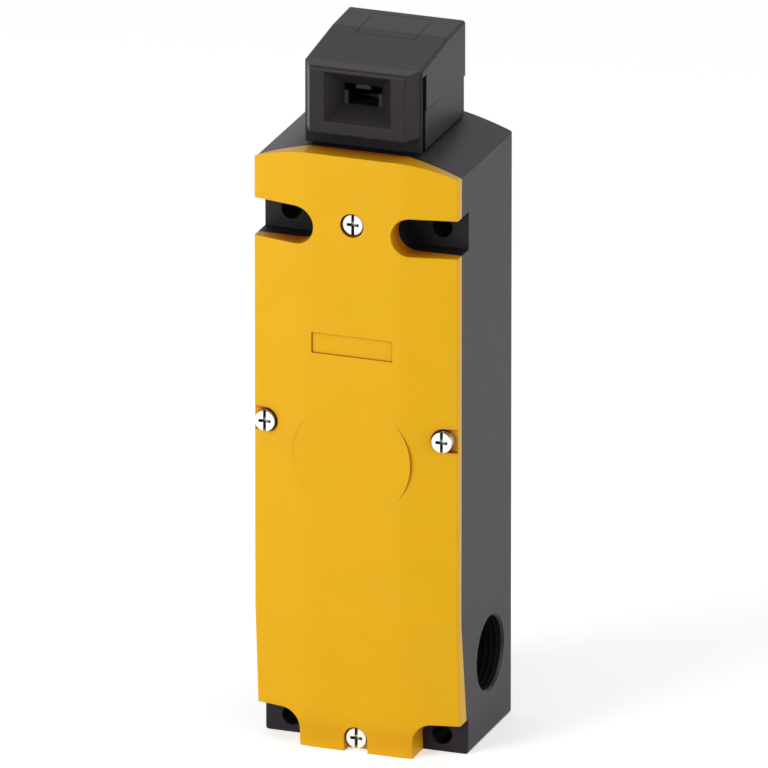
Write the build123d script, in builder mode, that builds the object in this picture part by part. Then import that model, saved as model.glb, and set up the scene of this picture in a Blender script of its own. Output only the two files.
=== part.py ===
from build123d import *
import os
from math import asin, cos, degrees, pi, radians, sin, sqrt, tan

os.makedirs("parts", exist_ok=True)

# Tongue interlock switch with guard locking, in millimetres.
# X runs across the face, Y from the cover to the mounting wall, Z up.
# The origin lies in the middle of the footprint, on the bottom face.

# Case
case_width = 54.0
case_depth = 43.5
case_top_z = 159.0
shoulder_flat = 26.0
shoulder_drop_front = 2.9
shoulder_drop_back = 4.15
shoulder_radius = 85.0
case_edge_radius = 1.0
case_foot_radius = 0.8
wall = 3.0
floor_z = 10.0
chamber_radius = 2.0
cover_depth = 5.9
seat_depth = 11.0
chin_z = 36.0
chin_set_back = 2.8

# Mounting holes and the notches that give their screws room
mount_pitch_x = 40.0
mount_pitch_z = 135.0
mount_low_z = 4.5
mount_hole_radius = 2.65
notch_radius = 5.0
notch_reach = 4.75
notch_wall = 3.0

# Cable entries for M20 x 1.5, bored at the middle of the thread's depth
entry_radius = 9.5
entry_z = 21.5
entry_setback = 16.2
entry_length = 9.0
entry_wall = 3.0
entry_lead_in = 0.6

# Cover
cover_wall = 2.5
face_flat = 25.6
facet_fall = 3.0
facet_blend = 18.0
cover_edge_radius = 0.5
tab_notch_half = 3.1
label_width = 21.4
label_height = 5.4
label_z = 109.0
label_depth = 0.35
pad_radius = 15.5
pad_z = 79.3
rim_overlap = 1.0

# Cover screws
screw_head_radius = 2.65
screw_head_height = 2.75
screw_shank_radius = 1.5
screw_hole_gap = 0.05
screw_pocket_radius = 3.1
screw_slot_width = 0.8
screw_slot_depth = 1.3
screw_cross_reach = 1.6
screw_cross_width = 0.8
top_screw_z = 141.1
side_screw_inset = 3.5
side_screw_z = 86.25
bottom_screw_z = 3.7
upper_seat_depth = 3.45
lower_seat_depth = 5.8
top_screw_reach = 1.0
post_end_wall = 0.65
entry_side_wall = 2.2
post_width = 4.2
post_half = 4.2
post_gap = 0.275

# Gasket
gasket_width = 1.5
gasket_height = 1.2

# Actuator head
head_width = 31.1
head_front_setback = 8.3
head_back_setback = 3.45
head_height = 24.9
roof_flat_length = 12.0
roof_knee_drop = 0.6
roof_front_setback = 0.45
roof_front_drop = 3.15
roof_nose_drop = 3.45
roof_nose_radius = 1.0
roof_edge_radius = 0.8
roof_knee_blend = 150.0
roof_front_blend = 60.0
head_lift = 0.1
head_step_height = 10.4
head_step = 0.25
head_wall = 2.5
bezel_depth = 4.3
bezel_face_half = 12.65
bezel_base_half = 14.97
bezel_lift = 4.1
lip_depth = 0.55
lip_bevel = 0.45
groove_width = 2.7
groove_depth = 1.2
groove_top_drop = 4.9

# Tongue mouth and slot
mouth_half = 8.9
mouth_height = 13.2
mouth_top_drop = 4.6
mouth_depth = 4.6
slot_half = 4.0
slot_ear_half = 5.0
slot_height = 5.3
slot_top_drop = 8.5
slot_ear_height = 1.9
slot_rib_half = 2.0
slot_rib_height = 1.1
channel_half = 8.0
channel_wall = 2.0
channel_gap = 1.125

# Plug over the second tongue slot, in the roof
plug_half = 7.9
plug_setback = 0.425
plug_wall = 2.35
plug_gap = 0.1
plug_depth = 3.9

# Head base, its spigot and what holds the spigot
base_wall = 2.55
base_height = 4.0
slider_end_gap = 1.025
spigot_gap = 0.1
spigot_bottom_z = 149.5
lock_groove_depth = 1.4
lock_groove_low_z = 150.9
lock_groove_high_z = 153.1
seal_groove_depth = 2.0
seal_z = 157.0
seal_wire = 2.0
seal_sides = 12
slider_travel = 3.5
slider_thickness = 1.6
slider_z = 151.2
slider_side_wall = 3.5
slider_gap = 0.2
slider_tab_half = 5.0
slider_tab_height = 4.5
slider_bay_low_z = 146.5
slider_bay_top_z = 154.5
slider_bay_wall = 4.0
rail_lap = 1.7
rail_height = 1.9
head_screw_inset_x = 2.6
head_screw_inset_front = 2.8
head_screw_inset_back = 2.9
head_screw_radius = 1.1
head_screw_head_radius = 1.9
head_screw_length = 8.0

# Cam wheel
cam_axis_drop = 14.0
cam_radius = 8.5
cam_half_width = 5.0
cam_side_gap = 0.6
cam_turn = 60.0
cam_spare_turn = 22.0
cam_pocket_radius = 2.2
front_pocket_angle = 160.0
top_pocket_angle = 40.0
axle_radius = 2.0
axle_gap = 0.05
axle_half_length = 9.0
axle_end_gap = 0.2

# Plunger
plunger_lift = 3.0
running_gap = 0.3
stem_gap = 0.08
stem_radius = 3.0
dome_radius = 2.2
collar_radius = 6.0
collar_thickness = 1.8
collar_clearance = 0.5
tail_radius = 2.5
foot_radius = 4.0
foot_height = 1.3
foot_z = 127.0
foot_cone_slope = 0.46
plunger_arm_height = 4.0
plunger_arm_half = 2.5
plunger_hub_radius = 5.2

# Shelf and bush that guide the plunger's tail
shelf_low_z = 135.0
shelf_high_z = 138.0
upper_bay_half = 14.0
lower_bay_half = 17.5
upper_bay_wall = 3.25
bush_radius = 5.0
bush_flange_radius = 6.5
bush_flange = 1.0

# Springs
spring_wire = 0.8
spring_steps = 16
spring_sides = 8
plunger_spring_turns = 4
armature_spring_turns = 5
carrier_spring_turns = 3.5
carrier_spring_wire = 0.6
carrier_spring_radius = 1.9

# Locking lever
strut_length = 20.0
strut_swing = 6.0
strut_nose_radius = 2.0
strut_half = 2.0
strut_thickness = 5.0
strut_rest_gap = 0.75
lever_hub_radius = 3.5
lever_pin_radius = 1.5
lever_pin_gap = 0.05
lever_arm_thickness = 3.0
lever_arm_half = 2.0
lever_eye_radius = 2.9
link_pin_radius = 1.2
link_pin_gap = 0.3
bracket_thickness = 1.5
bracket_gap = 0.3
bracket_half = 3.9

# Solenoid
yoke_side_gap = 0.2
yoke_block_gap = 1.7
yoke_wall = 1.8
coil_side_gap = 0.5
coil_face_gap = 0.2
yoke_low_z = 50.0
yoke_high_z = 98.0
bobbin_radius = 5.4
bobbin_flange = 1.5
bobbin_gap = 0.2
armature_radius = 4.0
armature_gap = 0.08
yoke_hole_gap = 0.4
stop_top_z = 62.0
stop_gap = 0.5
spring_pocket_depth = 5.0
spring_pocket_radius = 3.2
rod_radius = 1.5
rod_low_z = 33.8
clevis_low_z = 98.7
clevis_half = 2.7
clevis_thickness = 1.6
armature_arm_z = 34.5
armature_arm_height = 3.5
armature_hub_radius = 3.6
rib_height = 3.0

# Contact blocks
block_side_gap = 0.5
block_bracket_gap = 0.6
block_front_y = -9.0
block_height = 30.0
block_wall = 1.5
block_column = 6.3
block_column_depth = 4.5
push_gap = 0.1
carrier_half = 2.6
carrier_depth_half = 3.6
carrier_low = 5.0
carrier_end_gap = 0.25
carrier_stem_half = 2.0
carrier_stem_gap = 0.3
carrier_stem_reach = 5.9
make_bridge = 9.0
break_bridge = 19.0
bridge_room = 2.6
bridge_width = 3.6
bridge_thickness = 0.8
rivet_radius = 1.2
rivet_height = 0.6
rivet_inset = 1.0
contact_gap = 0.3
contact_spare = 0.03
strip_thickness = 0.8
strip_width = 3.4
strip_inset = 0.3
terminal_drop = 6.4
terminal_width = 5.0
terminal_screw_radius = 1.5
terminal_head_radius = 2.4
terminal_head_height = 1.8
terminal_screw_length = 5.5
tongue_block_z = 91.0

# Coil terminals
coil_block_inset = 2.8
coil_block_depth = 6.0
coil_block_low_z = 52.0
coil_block_height = 12.0
coil_terminal_pitch = 9.0

# Places that follow from the sizes above: case
case_half = case_width / 2
front_y = -case_depth / 2
back_y = case_depth / 2
seam_y = front_y + cover_depth
seat_y = front_y + seat_depth
flat_half = shoulder_flat / 2
chamber_half = case_half - wall
chamber_back_y = back_y - wall
mount_x = mount_pitch_x / 2
notch_z = mount_low_z + mount_pitch_z
notch_round_x = mount_x - notch_reach
chamber_top_z = notch_z - notch_radius - notch_wall
upper_seat_y = front_y + upper_seat_depth
lower_seat_y = front_y + lower_seat_depth
upper_bay_front_y = seat_y + upper_bay_wall
side_screw_x = case_half - side_screw_inset
post_inner_x = chamber_half - post_width
entry_y = back_y - entry_setback

# Head
head_half = head_width / 2
head_front_y = front_y + head_front_setback
head_back_y = back_y - head_back_setback
axis_y = (head_front_y + head_back_y) / 2
head_bottom_z = case_top_z + head_lift
head_top_z = head_bottom_z + head_height
head_step_z = head_bottom_z + head_step_height
roof_knee_y = head_back_y - roof_flat_length
roof_front_y = head_front_y + roof_front_setback
face_y = head_front_y - bezel_depth
body_front_y = head_front_y + lip_depth + groove_width
bezel_bottom_z = head_bottom_z + bezel_lift
groove_top_z = head_top_z - groove_top_drop
mouth_high_z = head_top_z - mouth_top_drop
mouth_low_z = mouth_high_z - mouth_height
slot_high_z = head_top_z - slot_top_drop
slot_low_z = slot_high_z - slot_height
slot_ear_low_z = slot_high_z - slot_ear_height
slot_rib_z = slot_high_z - slot_rib_height
slot_y = face_y + mouth_depth
channel_reach = axis_y - cam_radius - channel_gap - body_front_y
plug_front_y = axis_y + plug_setback
plug_length = head_back_y - plug_wall - plug_front_y

# Head base and the slider that holds it
base_half = head_half - base_wall
base_top_z = head_bottom_z + base_height
base_front_y = body_front_y + head_wall
base_back_y = head_back_y - head_wall
spigot_radius = chamber_back_y - slider_end_gap - slider_thickness - slider_gap - slider_travel - axis_y
lock_groove_radius = spigot_radius - lock_groove_depth
seal_groove_radius = spigot_radius - seal_groove_depth
slider_half = spigot_radius + slider_side_wall
slider_bay_half = case_half - slider_bay_wall
rail_inner_x = slider_half - rail_lap
head_screw_x = base_half - head_screw_inset_x
head_screw_front_y = base_front_y + head_screw_inset_front
head_screw_back_y = base_back_y - head_screw_inset_back

# Cam and plunger
cam_axis_z = head_top_z - cam_axis_drop
cam_rate = plunger_lift / radians(cam_turn)
cam_low_radius = cam_radius - plunger_lift
dome_offset = (dome_radius + running_gap) * sqrt(1 + (cam_rate / cam_low_radius) ** 2)
plunger_top_z = cam_axis_z - cam_radius - dome_offset + dome_radius
collar_top_z = spigot_bottom_z - plunger_lift - collar_clearance
collar_low_z = collar_top_z - collar_thickness
foot_low_z = foot_z - foot_height
foot_tip_z = foot_low_z - foot_cone_slope * foot_radius

# Solenoid, between the contact blocks and the right wall
block_left_x = -chamber_half + block_side_gap
block_right_x = -bracket_half - block_bracket_gap
yoke_left_x = block_right_x + yoke_block_gap
yoke_right_x = chamber_half - yoke_side_gap
yoke_half = (yoke_right_x - yoke_left_x) / 2
coil_radius = yoke_half - yoke_wall - coil_side_gap
yoke_depth = 2 * (coil_radius + bobbin_gap + coil_face_gap)
post_depth = axis_y - yoke_depth / 2 - post_gap - seam_y
armature_low_z = stop_top_z + stop_gap

# Lever: its pivot below the plunger's foot, its arm over the armature
lever_arm_x = (yoke_left_x + yoke_right_x) / 2
lever_angle = degrees(asin(strut_swing / strut_length))
pivot_z = foot_tip_z + plunger_lift - strut_rest_gap - strut_nose_radius - strut_length
arm_droop = lever_angle / 2
link_drop = lever_arm_x * tan(radians(arm_droop))
link_z = pivot_z - link_drop
armature_stroke = 2 * link_drop

# Contact blocks
block_x = (block_left_x + block_right_x) / 2
block_half = (block_right_x - block_left_x) / 2
contact_travel = armature_stroke + contact_spare
carrier_high = block_height - block_wall - carrier_end_gap - contact_travel
bridge_half = block_half - bridge_room
rivet_x = bridge_half - rivet_inset
lock_block_z = armature_arm_z + armature_arm_height + push_gap + block_height
lock_block_z += carrier_stem_reach + contact_travel
coil_block_half = yoke_half - coil_block_inset

# Screws
long_grip = upper_bay_front_y + top_screw_reach - upper_seat_y
side_grip = seam_y + post_depth - post_end_wall - upper_seat_y
short_grip = entry_y - entry_radius - entry_side_wall - lower_seat_y
cover_screw_places = (
    (0, top_screw_z, upper_seat_y, long_grip),
    (-side_screw_x, side_screw_z, upper_seat_y, side_grip),
    (side_screw_x, side_screw_z, upper_seat_y, side_grip),
    (0, bottom_screw_z, lower_seat_y, short_grip),
)
head_screw_places = [
    (side * head_screw_x, y) for side in (-1, 1) for y in (head_screw_front_y, head_screw_back_y)
]


def block(corner, opposite, mode=Mode.ADD):
    """Box between two opposite corners."""
    with Locations(tuple((a + b) / 2 for a, b in zip(corner, opposite))):
        Box(*(abs(b - a) for a, b in zip(corner, opposite)), mode=mode)


def rod(start, direction, radius, length, mode=Mode.ADD):
    """Round bar or hole that starts at a point and runs along a direction."""
    with BuildSketch(Plane(origin=start, z_dir=direction)) as disc:
        Circle(radius)
    extrude(disc.sketch, amount=length, mode=mode)


def case_outline(y):
    """Front view of the case at one depth: flat top and shoulders that droop behind the face."""
    share = min((y - front_y) / cover_depth, 1)
    edge_z = case_top_z - shoulder_drop_front - share * (shoulder_drop_back - shoulder_drop_front)
    with BuildSketch(Plane.XZ.offset(-y)) as outline:
        with BuildLine():
            Polyline((-case_half, edge_z), (-case_half, 0), (case_half, 0), (case_half, edge_z))
            RadiusArc((flat_half, case_top_z), (case_half, edge_z), shoulder_radius)
            Line((flat_half, case_top_z), (-flat_half, case_top_z))
            RadiusArc((-case_half, edge_z), (-flat_half, case_top_z), shoulder_radius)
        make_face()
        feet = outline.vertices().filter_by(lambda v: abs(v.Y) < 0.01)
        fillet(feet, radius=case_foot_radius)
    return outline.sketch


def opening(grow):
    """Mouth of the chamber in front view, passing inside the two side screw posts."""
    mid_z = (floor_z + chamber_top_z) / 2
    height = chamber_top_z - floor_z
    shape = Pos(0, mid_z) * RectangleRounded(
        2 * (chamber_half + grow), height + 2 * grow, chamber_radius + grow
    )
    for side in (-1, 1):
        post = Rectangle(2 * (post_width - grow) + 2 * grow, 2 * (post_half - grow))
        shape -= Pos(side * (chamber_half + grow), side_screw_z) * post
    return shape


def seam_profile(depth):
    """Side view of a layer behind the seam: upright, then sloping back over the chin."""
    Polyline(
        (seam_y, case_top_z + wall),
        (seam_y, chin_z),
        (seat_y, 0),
        (seat_y, -wall),
        (seat_y + depth, -wall),
        (seat_y + depth, 0),
        (seam_y + depth, chin_z),
        (seam_y + depth, case_top_z + wall),
        close=True,
    )


def mount_notches(depth_from, depth_to):
    """Notches beside the top holes and recesses at the bottom corners, cut over a depth."""
    reach = case_half - notch_round_x + wall
    with BuildSketch(Plane.XZ.offset(-depth_from)) as outline:
        for side in (-1, 1):
            with Locations((side * notch_round_x, notch_z)):
                Circle(notch_radius)
            with Locations((side * (notch_round_x + reach / 2), notch_z)):
                Rectangle(reach, 2 * notch_radius)
            with Locations((side * mount_x, mount_low_z)):
                Circle(notch_radius)
            with Locations((side * (mount_x + reach / 2), mount_low_z)):
                Rectangle(reach, 2 * notch_radius)
            with Locations((side * (mount_x - notch_radius + reach), mount_low_z / 2 - wall)):
                Rectangle(2 * reach, mount_low_z + 2 * wall)
    extrude(outline.sketch, amount=depth_from - depth_to, mode=Mode.SUBTRACT)


gasket_ring = opening(gasket_width) - opening(0)
hollow_outline = opening(gasket_width - rim_overlap)

# Gasket: a flat ring that lies in a rebate of the housing's rim
with BuildPart() as cover_gasket:
    with BuildSketch(Plane.XZ.offset(-front_y)):
        add(gasket_ring)
    extrude(amount=-case_depth)
    with BuildSketch(Plane.YZ):
        with BuildLine():
            seam_profile(gasket_height)
        make_face()
    extrude(amount=case_half, both=True, mode=Mode.INTERSECT)
cover_gasket.part.label = "cover_gasket"

# Housing: moulded case with the chamber, the bays above it, posts, rails and bosses
with BuildPart() as housing:
    loft([case_outline(seam_y), case_outline(back_y)], ruled=True)
    back_edges = housing.edges().filter_by(Axis.Z).group_by(Axis.Y)[-1]
    fillet(back_edges, radius=case_edge_radius)
    with BuildSketch(Plane.YZ):
        with BuildLine():
            Polyline((seam_y, chin_z), (seam_y, 0), (seat_y, 0), close=True)
        make_face()
    extrude(amount=case_half, both=True, mode=Mode.SUBTRACT)
    mount_notches(seam_y, seat_y)

    with BuildSketch(Plane.XZ.offset(-seam_y)):
        with Locations((0, (floor_z + chamber_top_z) / 2)):
            RectangleRounded(2 * chamber_half, chamber_top_z - floor_z, chamber_radius)
    extrude(amount=seam_y - chamber_back_y, mode=Mode.SUBTRACT)
    for half, low, high in (
        (lower_bay_half, chamber_top_z - wall, shelf_low_z),
        (upper_bay_half, shelf_high_z, slider_bay_low_z + wall),
    ):
        block((-half, upper_bay_front_y, low), (half, chamber_back_y, high), Mode.SUBTRACT)
    block(
        (-slider_bay_half, seam_y, slider_bay_low_z),
        (slider_bay_half, chamber_back_y, slider_bay_top_z),
        Mode.SUBTRACT,
    )
    rod((0, axis_y, slider_bay_top_z), (0, 0, 1), spigot_radius + spigot_gap, 2 * wall, Mode.SUBTRACT)
    rod((0, axis_y, shelf_low_z), (0, 0, 1), bush_radius, 2 * wall, Mode.SUBTRACT)

    for side in (-1, 1):
        block(
            (side * (case_half - wall / 2), seam_y, side_screw_z - post_half),
            (side * post_inner_x, seam_y + post_depth, side_screw_z + post_half),
        )
        block(
            (side * rail_inner_x, base_front_y, slider_z - slider_gap / 2 - rail_height),
            (side * (case_half - wall), chamber_back_y + wall / 2, slider_z - slider_gap / 2),
        )
        rod(
            (side * (case_half - wall / 2), entry_y, entry_z),
            (-side, 0, 0),
            entry_radius + entry_wall,
            entry_length - wall / 2,
        )
    for rib_z in (yoke_low_z + yoke_wall + rib_height, yoke_high_z - yoke_wall - rib_height):
        block(
            (lever_arm_x - yoke_half, axis_y + yoke_depth / 2, rib_z - rib_height / 2),
            (lever_arm_x + yoke_half, chamber_back_y + wall / 2, rib_z + rib_height / 2),
        )
    add(cover_gasket.part, mode=Mode.SUBTRACT)

    for side in (-1, 1):
        rod((side * case_half, entry_y, entry_z), (-side, 0, 0), entry_radius, entry_length, Mode.SUBTRACT)
    rod((0, entry_y, 0), (0, 0, 1), entry_radius, floor_z, Mode.SUBTRACT)
    mouths = housing.edges().filter_by(GeomType.CIRCLE)
    mouths = mouths.filter_by(lambda e: abs(e.radius - entry_radius) < 0.01)
    outer = mouths.filter_by(
        lambda e: abs(abs(e.center().X) - case_half) < 0.1 or abs(e.center().Z) < 0.1
    )
    chamfer(outer, entry_lead_in)
    for side in (-1, 1):
        for hole_z in (mount_low_z, notch_z):
            hole_start = (side * mount_x, seam_y, hole_z)
            rod(hole_start, (0, 1, 0), mount_hole_radius, case_depth, Mode.SUBTRACT)
    for x, z, seat, grip in cover_screw_places:
        hole_radius = screw_shank_radius + screw_hole_gap
        rod((x, seat, z), (0, 1, 0), hole_radius, grip, Mode.SUBTRACT)
housing.part.label = "housing"


def cover_section(z, set_back, inset):
    """Plan outline of the cover at one height: a flat face and two facets that fall to the sides."""
    half = case_half - inset
    flat = face_flat / 2
    front = front_y + set_back + inset
    side_y = front + facet_fall * (half - flat) / (case_half - flat)
    with BuildSketch(Plane.XY.offset(z)) as section:
        with BuildLine():
            Polyline(
                (-half, seat_y + wall),
                (-half, side_y),
                (-flat, front),
                (flat, front),
                (half, side_y),
                (half, seat_y + wall),
                close=True,
            )
        make_face()
        corners = section.vertices().filter_by(lambda v: abs(v.Y - front) < 0.01)
        fillet(corners, radius=facet_blend)
        rims = section.vertices().filter_by(lambda v: abs(v.Y - side_y) < 0.01)
        if inset == 0:
            fillet(rims, radius=cover_edge_radius)
    return section.sketch


def cover_form(low_z, high_z, inset):
    """Cover or its hollow between two heights: upright above the chin, leaning back below it."""
    set_back = chin_set_back * (chin_z - low_z) / chin_z
    extrude(cover_section(chin_z, 0, inset), amount=high_z - chin_z)
    loft([cover_section(low_z, set_back, inset), cover_section(chin_z, 0, inset)], ruled=True)


# Hollow inside the cover, kept off its rim and its screw bosses
with BuildPart() as cover_hollow:
    cover_form(floor_z - rim_overlap, chamber_top_z + rim_overlap, cover_wall)
    with BuildSketch(Plane.XZ.offset(-front_y)):
        add(hollow_outline)
    extrude(amount=-case_depth, mode=Mode.INTERSECT)

# Whole case in front view, which trims the cover to the shoulders
with BuildPart() as case_form:
    loft([case_outline(front_y), case_outline(seam_y), case_outline(back_y)], ruled=True)

# Cover: yellow moulded lid
with BuildPart() as cover:
    cover_form(0, case_top_z + wall, 0)
    with BuildSketch(Plane.XZ.offset(-front_y)):
        with Locations((0, pad_z)):
            Circle(pad_radius)
    extrude(amount=-(facet_fall + 1))
    add(case_form.part, mode=Mode.INTERSECT)
    with BuildSketch(Plane.YZ):
        with BuildLine():
            seam_profile(case_depth)
        make_face()
    extrude(amount=case_width, both=True, mode=Mode.SUBTRACT)
    add(cover_hollow.part, mode=Mode.SUBTRACT)
    block(
        (-face_flat / 2, front_y + cover_wall, slider_bay_low_z),
        (face_flat / 2, seam_y, slider_bay_top_z),
        Mode.SUBTRACT,
    )
    mount_notches(front_y, seat_y)
    with BuildSketch(Plane.XZ.offset(-front_y)):
        with Locations((0, label_z)):
            Rectangle(label_width, label_height)
    extrude(amount=-label_depth, mode=Mode.SUBTRACT)

    reach = case_half - side_screw_x + wall
    with BuildSketch(Plane.XZ.offset(-front_y)):
        with Locations((0, top_screw_z)):
            Circle(screw_pocket_radius)
        for side in (-1, 1):
            with Locations((side * side_screw_x, side_screw_z)):
                Circle(screw_pocket_radius)
            with Locations((side * (side_screw_x + reach / 2), side_screw_z)):
                Rectangle(reach, 2 * screw_pocket_radius)
    extrude(amount=front_y - upper_seat_y, mode=Mode.SUBTRACT)
    with BuildSketch(Plane.XZ.offset(-front_y)):
        with Locations((0, bottom_screw_z)):
            Circle(tab_notch_half)
        with Locations((0, bottom_screw_z / 2 - wall)):
            Rectangle(2 * tab_notch_half, bottom_screw_z + 2 * wall)
    extrude(amount=front_y - lower_seat_y, mode=Mode.SUBTRACT)
    for x, z, seat, grip in cover_screw_places:
        hole_radius = screw_shank_radius + screw_hole_gap
        rod((x, seat, z), (0, 1, 0), hole_radius, grip, Mode.SUBTRACT)
cover.part.label = "cover"

# Cover screws: pan heads with a slot and a small cross recess
with BuildPart() as cover_screws:
    for x, z, seat, grip in cover_screw_places:
        top_y = seat - screw_head_height
        rod((x, seat, z), (0, -1, 0), screw_head_radius, screw_head_height)
        rod((x, seat, z), (0, 1, 0), screw_shank_radius, grip)
        for half_x, half_z in (
            (screw_slot_width / 2, screw_head_radius + 1),
            (screw_cross_reach, screw_cross_width / 2),
        ):
            block(
                (x - half_x, top_y - 1, z - half_z),
                (x + half_x, top_y + screw_slot_depth, z + half_z),
                Mode.SUBTRACT,
            )
cover_screws.part.label = "cover_screws"

# Outer form that the head body, its front guide and the roof plug share
with BuildPart() as head_form:
    with BuildSketch(Plane.YZ) as head_side:
        with BuildLine():
            Polyline(
                (face_y, head_bottom_z),
                (face_y, head_top_z - roof_nose_drop),
                (roof_front_y, head_top_z - roof_front_drop),
                (roof_knee_y, head_top_z - roof_knee_drop),
                (head_back_y, head_top_z),
                (head_back_y, head_bottom_z),
                close=True,
            )
        make_face()
        upper = head_side.vertices().filter_by(lambda v: v.Y > groove_top_z)
        fillet(upper.filter_by(lambda v: abs(v.X - face_y) < 0.01), radius=roof_nose_radius)
        fillet(upper.filter_by(lambda v: abs(v.X - roof_front_y) < 0.01), radius=roof_front_blend)
        fillet(upper.filter_by(lambda v: abs(v.X - roof_knee_y) < 0.01), radius=roof_knee_blend)
        fillet(upper.filter_by(lambda v: abs(v.X - head_back_y) < 0.01), radius=roof_edge_radius)
    extrude(amount=head_half, both=True)
    roof_edges = head_form.edges().filter_by(
        lambda e: e.center().Z > groove_top_z and abs(abs(e.center().X) - head_half) < 0.01
    )
    fillet(roof_edges, radius=roof_edge_radius)

# Head body: shell with the cam pocket, axle slots and the roof opening
with BuildPart() as head_body:
    add(head_form.part)
    block(
        (-head_width, face_y - 1, head_bottom_z - 1),
        (head_width, body_front_y, head_top_z + 1),
        Mode.SUBTRACT,
    )
    with BuildSketch(Plane.XY.offset(head_bottom_z)):
        with Locations((0, axis_y)):
            Rectangle(2 * head_width, 3 * head_width)
        with Locations((0, (face_y + head_back_y - head_step) / 2)):
            inner_depth = head_back_y - head_step - face_y
            Rectangle(head_width - 2 * head_step, inner_depth, mode=Mode.SUBTRACT)
    extrude(amount=head_step_z - head_bottom_z, mode=Mode.SUBTRACT)
    block(
        (-base_half, base_front_y, head_bottom_z),
        (base_half, base_back_y, base_top_z),
        Mode.SUBTRACT,
    )
    pocket_half = cam_half_width + cam_side_gap
    pocket_radius = cam_radius + cam_side_gap
    block(
        (-pocket_half, axis_y - pocket_radius, base_top_z),
        (pocket_half, axis_y + pocket_radius, cam_axis_z),
        Mode.SUBTRACT,
    )
    rod(
        (-pocket_half, axis_y, cam_axis_z), (1, 0, 0), pocket_radius, 2 * pocket_half, Mode.SUBTRACT
    )
    slot_reach = axle_half_length + axle_end_gap
    rod((-slot_reach, axis_y, cam_axis_z), (1, 0, 0), axle_radius, 2 * slot_reach, Mode.SUBTRACT)
    block(
        (-slot_reach, axis_y - axle_radius, base_top_z),
        (slot_reach, axis_y + axle_radius, cam_axis_z),
        Mode.SUBTRACT,
    )
    block(
        (-channel_half, body_front_y, slot_low_z - channel_wall),
        (channel_half, body_front_y + channel_reach, slot_high_z + channel_wall),
        Mode.SUBTRACT,
    )
    tongue_room_half = slot_ear_half + cam_side_gap
    block(
        (-tongue_room_half, body_front_y, slot_low_z),
        (tongue_room_half, axis_y, slot_high_z),
        Mode.SUBTRACT,
    )
    block(
        (-plug_half, plug_front_y, cam_axis_z + cam_radius),
        (plug_half, plug_front_y + plug_length, head_top_z + 1),
        Mode.SUBTRACT,
    )
    for x, y in head_screw_places:
        rod((x, y, base_top_z), (0, 0, 1), head_screw_radius, head_screw_length, Mode.SUBTRACT)
head_body.part.label = "head_body"

# Front guide: bezel with the tapering mouth, the tongue slot and a channel into the body
with BuildPart() as head_front_guide:
    add(head_form.part)
    block(
        (-head_width, body_front_y, head_bottom_z - 1),
        (head_width, head_back_y + 1, head_top_z + 1),
        Mode.SUBTRACT,
    )
    with BuildSketch(Plane.XY.offset(bezel_bottom_z)):
        with BuildLine():
            Polyline(
                (-head_half, body_front_y),
                (-head_half, head_front_y),
                (-bezel_base_half, head_front_y),
                (-bezel_face_half, face_y),
                (bezel_face_half, face_y),
                (bezel_base_half, head_front_y),
                (head_half, head_front_y),
                (head_half, body_front_y),
                close=True,
            )
        make_face()
    extrude(amount=head_top_z - bezel_bottom_z, mode=Mode.INTERSECT)
    block((-head_half, head_front_y, head_bottom_z), (head_half, body_front_y, bezel_bottom_z))
    lip_cut = lip_bevel * sqrt(2)
    for side in (-1, 1):
        with Locations(Location((side * head_half, head_front_y, head_bottom_z), (0, 0, 45))):
            Box(lip_cut, lip_cut, 2 * head_height, mode=Mode.SUBTRACT)
        block(
            (side * (head_half - groove_depth), head_front_y + lip_depth, head_bottom_z),
            (side * head_width, body_front_y, groove_top_z),
            Mode.SUBTRACT,
        )
    block(
        (-channel_half, body_front_y, slot_low_z - channel_wall),
        (channel_half, body_front_y + channel_reach, slot_high_z + channel_wall),
    )
    mouth_mid_z = (mouth_low_z + mouth_high_z) / 2
    slot_mid_z = (slot_low_z + slot_high_z) / 2
    with BuildSketch(Plane.XZ.offset(-face_y)):
        with Locations((0, mouth_mid_z)):
            Rectangle(2 * mouth_half, mouth_high_z - mouth_low_z)
    with BuildSketch(Plane.XZ.offset(-slot_y)):
        with Locations((0, slot_mid_z)):
            Rectangle(2 * slot_ear_half, slot_high_z - slot_low_z)
    loft(ruled=True, mode=Mode.SUBTRACT)
    slot_end_y = body_front_y + channel_reach
    for half, low, high in (
        (slot_half, slot_low_z, slot_ear_low_z),
        (slot_ear_half, slot_ear_low_z, slot_rib_z),
    ):
        block((-half, slot_y, low), (half, slot_end_y, high), Mode.SUBTRACT)
    for side in (-1, 1):
        block(
            (side * slot_rib_half, slot_y, slot_rib_z),
            (side * slot_ear_half, slot_end_y, slot_high_z),
            Mode.SUBTRACT,
        )
head_front_guide.part.label = "head_front_guide"

# Plug in the roof opening, flush with the sloping roof
with BuildPart() as head_top_plug:
    add(head_form.part)
    block(
        (-plug_half + plug_gap, plug_front_y + plug_gap, head_top_z - plug_depth),
        (plug_half - plug_gap, plug_front_y + plug_length - plug_gap, head_top_z + 1),
        Mode.INTERSECT,
    )
head_top_plug.part.label = "head_top_plug"

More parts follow.
